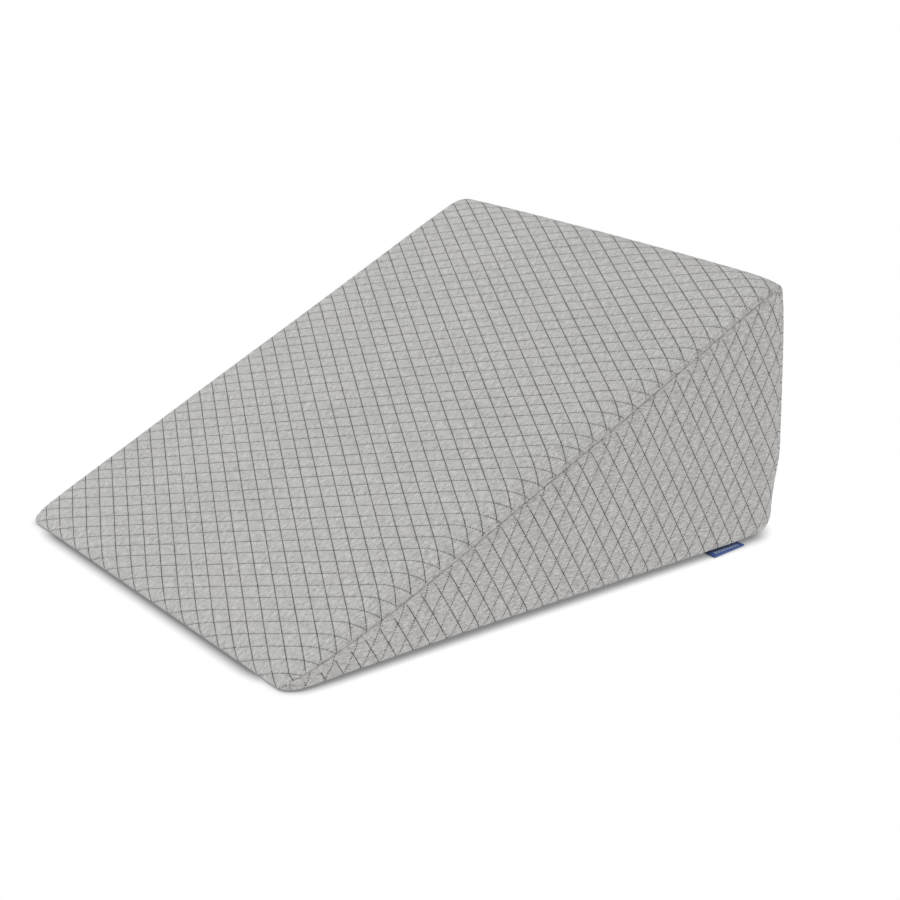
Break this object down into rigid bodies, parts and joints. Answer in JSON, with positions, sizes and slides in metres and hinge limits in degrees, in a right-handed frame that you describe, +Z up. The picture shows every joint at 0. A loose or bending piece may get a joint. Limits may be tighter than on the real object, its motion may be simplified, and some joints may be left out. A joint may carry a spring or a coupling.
{
  "type": "wedge pillow",
  "caption": "Firm wedge pillow in a diamond quilted knit cover, sloping from a tall back to a thin nose, with a folded fabric tab at one side.",
  "frame": {"origin": "on the floor, in the middle of the part's bounding box", "axes": "+X across the width, towards the side with the folded tab; +Y from the thin nose to the tall back; +Z up"},
  "size_m": [0.6, 0.66, 0.3],
  "materials": {
    "quilted_knit": "heathered light grey knit with dark grey diamond lines",
    "woven_ribbon": "plain blue woven ribbon"
  },
  "bodies": {
    "root": {"wedge_cushion": "quilted_knit", "side_label": "woven_ribbon"}
  },
  "joints": []
}
